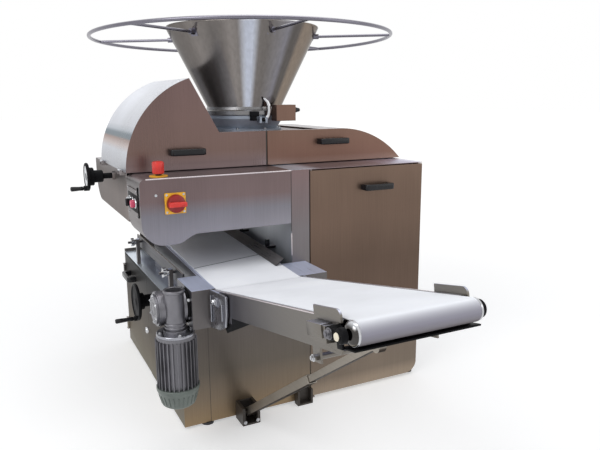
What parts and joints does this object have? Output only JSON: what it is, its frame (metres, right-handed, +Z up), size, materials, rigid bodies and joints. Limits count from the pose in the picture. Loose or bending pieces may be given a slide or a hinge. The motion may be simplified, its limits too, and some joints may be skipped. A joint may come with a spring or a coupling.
{
  "type": "dough divider",
  "caption": "Free-standing dough divider: conical hopper with guard ring over a ram and measuring drum under lifting hoods, a discharge belt and a tilting outfeed on a strut.",
  "frame": {"origin": "on the floor under the middle of the machine's bounding box", "axes": "+Z up, the front with the outfeed faces -Y, the control box and handwheels are at -X"},
  "size_m": [1.4552, 2.3093, 1.602],
  "materials": {
    "stainless": "brushed",
    "bright_stainless": "polished",
    "chrome": "polished",
    "frame_paint": "satin",
    "collar_grey": "satin",
    "machined_iron": "machined",
    "motor_aluminium": "cast",
    "fan_grey": "satin",
    "belt_white": "matt",
    "black_plastic": "matt",
    "red_plastic": "gloss",
    "yellow_plastic": "satin",
    "silver_plastic": "gloss",
    "foot_rubber": "matt"
  },
  "bodies": {
    "machine": {"back_panel": "stainless", "base_casing": "stainless", "base_frame": "frame_paint", "belt_motor": "motor_aluminium", "belt_table": "stainless", "cabinet_shell": "stainless", "control_box": "stainless", "dough_chamber": "machined_iron", "drive_gearmotor": "frame_paint", "estop_collar": "yellow_plastic", "fan_cover": "fan_grey", "gearbox_housing": "motor_aluminium", "guide_clamp_knobs": "black_plastic", "hinge_pins": "stainless", "hopper_collar": "collar_grey", "machine_feet": "foot_rubber", "main_switch_plate": "yellow_plastic", "right_guide_rail": "collar_grey", "safety_switch": "stainless", "side_control_plate": "stainless", "strut_bracket": "black_plastic", "top_deck": "stainless", "transfer_belt": "belt_white", "upper_body_shell": "stainless"},
    "cabinet_door": {"cabinet_door": "stainless", "cabinet_door_handle": "black_plastic"},
    "left_side_door": {"left_side_door": "stainless", "left_side_door_handle": "black_plastic"},
    "left_hood": {"left_hood": "bright_stainless", "left_hood_handle": "black_plastic"},
    "right_hood": {"right_hood": "stainless", "right_hood_handle": "black_plastic"},
    "hopper": {"hopper": "bright_stainless", "guard_ring": "bright_stainless"},
    "hopper_clamp_lever": {"hopper_clamp_lever": "chrome"},
    "main_switch_knob": {"main_switch_knob": "red_plastic"},
    "estop_button": {"estop_button": "red_plastic"},
    "start_button": {"start_button": "silver_plastic"},
    "stop_button": {"stop_button": "red_plastic"},
    "selector_knob": {"selector_knob": "black_plastic"},
    "weight_handwheel": {"weight_handwheel": "chrome"},
    "weight_crank_grip": {"weight_crank_grip": "black_plastic"},
    "stop_nut": {"stop_nut": "machined_iron"},
    "speed_handwheel": {"speed_handwheel": "chrome"},
    "speed_crank_grip": {"speed_crank_grip": "black_plastic"},
    "divider_drum": {"divider_drum": "machined_iron"},
    "measuring_pistons": {"measuring_pistons": "machined_iron"},
    "ram_piston": {"ram_piston": "machined_iron"},
    "rocker_lever": {"rocker_lever": "machined_iron"},
    "crank_disc": {"crank_disc": "machined_iron"},
    "con_rod": {"con_rod": "machined_iron"},
    "belt_drive_roller": {"belt_drive_roller": "chrome"},
    "belt_tail_roller": {"belt_tail_roller": "chrome"},
    "outfeed": {"outfeed_frame": "stainless", "outfeed_bearings": "black_plastic", "outfeed_belt": "belt_white"},
    "outfeed_end_roller": {"outfeed_end_roller": "chrome"},
    "strut_tube": {"strut_tube": "stainless"},
    "strut_rod": {"strut_rod": "stainless"},
    "left_guide_rail": {"left_guide_rail": "stainless"}
  },
  "joints": [
    {"name": "cabinet_door_swing", "type": "hinge", "parent": "machine", "child": "cabinet_door", "pos_m": [0.14965, 0.01233, 0.5], "axis": [0, 0, -1], "range_deg": [0, 95]},
    {"name": "side_door_swing", "type": "hinge", "parent": "machine", "child": "left_side_door", "pos_m": [-0.42935, 1.04533, 0.25], "axis": [0, 0, -1], "range_deg": [0, 100]},
    {"name": "left_hood_lift", "type": "hinge", "parent": "machine", "child": "left_hood", "pos_m": [-0.56035, 0.49533, 1.016], "axis": [0, -1, 0], "range_deg": [0, 40]},
    {"name": "right_hood_lift", "type": "hinge", "parent": "machine", "child": "right_hood", "pos_m": [0.72265, 0.49533, 1.016], "axis": [0, 1, 0], "range_deg": [0, 35]},
    {"name": "hopper_tilt", "type": "hinge", "parent": "machine", "child": "hopper", "pos_m": [0.05565, 0.69433, 1.229], "axis": [-1, 0, 0], "range_deg": [0, 40]},
    {"name": "clamp_lever_swing", "type": "hinge", "parent": "machine", "child": "hopper_clamp_lever", "pos_m": [0.06565, 0.29933, 1.2], "axis": [1, 0, 0], "range_deg": [0, 80]},
    {"name": "main_switch_turn", "type": "hinge", "parent": "machine", "child": "main_switch_knob", "pos_m": [-0.41835, -0.00467, 0.916], "axis": [0, 1, 0], "range_deg": [0, 90]},
    {"name": "estop_push", "type": "slide", "parent": "machine", "child": "estop_button", "axis": [0, 0, -1], "range_m": [0, 0.005]},
    {"name": "start_push", "type": "slide", "parent": "machine", "child": "start_button", "axis": [1, 0, 0], "range_m": [0, 0.004], "stiffness_N_per_m": 400},
    {"name": "stop_push", "type": "slide", "parent": "machine", "child": "stop_button", "axis": [1, 0, 0], "range_m": [0, 0.004], "stiffness_N_per_m": 400},
    {"name": "selector_turn", "type": "hinge", "parent": "machine", "child": "selector_knob", "pos_m": [-0.55235, 0.11933, 0.915], "axis": [1, 0, 0], "range_deg": [-45, 45]},
    {"name": "weight_wheel_turn", "type": "hinge", "parent": "machine", "child": "weight_handwheel", "pos_m": [-0.65635, 0.49433, 0.974], "axis": [1, 0, 0], "range_deg": [-1440, 1440]},
    {"name": "weight_grip_spin", "type": "hinge", "parent": "weight_handwheel", "child": "weight_crank_grip", "pos_m": [-0.69735, 0.4819, 0.92764], "axis": [1, 0, 0], "continuous": true},
    {"name": "stop_nut_slide", "type": "slide", "parent": "machine", "child": "stop_nut", "axis": [1, 0, 0], "range_m": [-0.0205, 0.0205]},
    {"name": "speed_wheel_turn", "type": "hinge", "parent": "machine", "child": "speed_handwheel", "pos_m": [-0.51235, 0.35833, 0.443], "axis": [1, 0, 0], "range_deg": [-1440, 1440]},
    {"name": "speed_grip_spin", "type": "hinge", "parent": "speed_handwheel", "child": "speed_crank_grip", "pos_m": [-0.55235, 0.34047, 0.37635], "axis": [1, 0, 0], "continuous": true},
    {"name": "drum_turn", "type": "hinge", "parent": "machine", "child": "divider_drum", "pos_m": [-0.16335, 0.49533, 0.97], "axis": [0, 1, 0], "range_deg": [0, 90]},
    {"name": "piston_slide", "type": "slide", "parent": "divider_drum", "child": "measuring_pistons", "axis": [1, 0, 0], "range_m": [-0.035, 0.035]},
    {"name": "rocker_swing", "type": "hinge", "parent": "machine", "child": "rocker_lever", "pos_m": [0.33765, 0.48933, 0.56], "axis": [0, 1, 0], "range_deg": [-8.4, 8.4]},
    {"name": "ram_slide", "type": "slide", "parent": "machine", "child": "ram_piston", "axis": [1, 0, 0], "range_m": [-0.0615, 0.0615]},
    {"name": "crank_turn", "type": "hinge", "parent": "machine", "child": "crank_disc", "pos_m": [0.52765, 0.51533, 0.41], "axis": [0, 1, 0], "continuous": true},
    {"name": "con_rod_turn", "type": "hinge", "parent": "crank_disc", "child": "con_rod", "pos_m": [0.52765, 0.48933, 0.432], "axis": [0, 1, 0], "continuous": true},
    {"name": "belt_drive_turn", "type": "hinge", "parent": "machine", "child": "belt_drive_roller", "pos_m": [-0.16935, -0.10567, 0.56], "axis": [1, 0, 0], "continuous": true},
    {"name": "belt_tail_turn", "type": "hinge", "parent": "machine", "child": "belt_tail_roller", "pos_m": [-0.16935, 0.64433, 0.6321], "axis": [1, 0, 0], "continuous": true},
    {"name": "outfeed_tilt", "type": "hinge", "parent": "machine", "child": "outfeed", "pos_m": [-0.16935, -0.25067, 0.6], "axis": [-1, 0, 0], "range_deg": [-5, 5]},
    {"name": "outfeed_end_turn", "type": "hinge", "parent": "outfeed", "child": "outfeed_end_roller", "pos_m": [-0.16935, -1.12478, 0.7901], "axis": [1, 0, 0], "continuous": true},
    {"name": "strut_swing", "type": "hinge", "parent": "machine", "child": "strut_tube", "pos_m": [-0.16935, -0.05567, 0.05], "axis": [-1, 0, 0], "range_deg": [-3.5, 3.5]},
    {"name": "strut_extend", "type": "slide", "parent": "strut_tube", "child": "strut_rod", "axis": [0, -0.8249, 0.5652], "range_m": [-0.035, 0.035]},
    {"name": "left_guide_slide", "type": "slide", "parent": "machine", "child": "left_guide_rail", "axis": [1, 0, 0], "range_m": [0, 0.03]}
  ],
  "couplings": [
    {"joint": "stop_nut_slide", "follows": "weight_wheel_turn", "m_per_rad": 0.00079577},
    {"joint": "ram_slide", "follows": "rocker_swing", "m_per_rad": 0.41},
    {"joint": "con_rod_turn", "follows": "crank_turn", "ratio": -1},
    {"joint": "belt_tail_turn", "follows": "belt_drive_turn", "ratio": 1.3333},
    {"joint": "outfeed_end_turn", "follows": "belt_drive_turn", "ratio": 1.3333},
    {"joint": "strut_swing", "follows": "outfeed_tilt", "ratio": 0.57432},
    {"joint": "strut_extend", "follows": "outfeed_tilt", "m_per_rad": 0.3435}
  ]
}
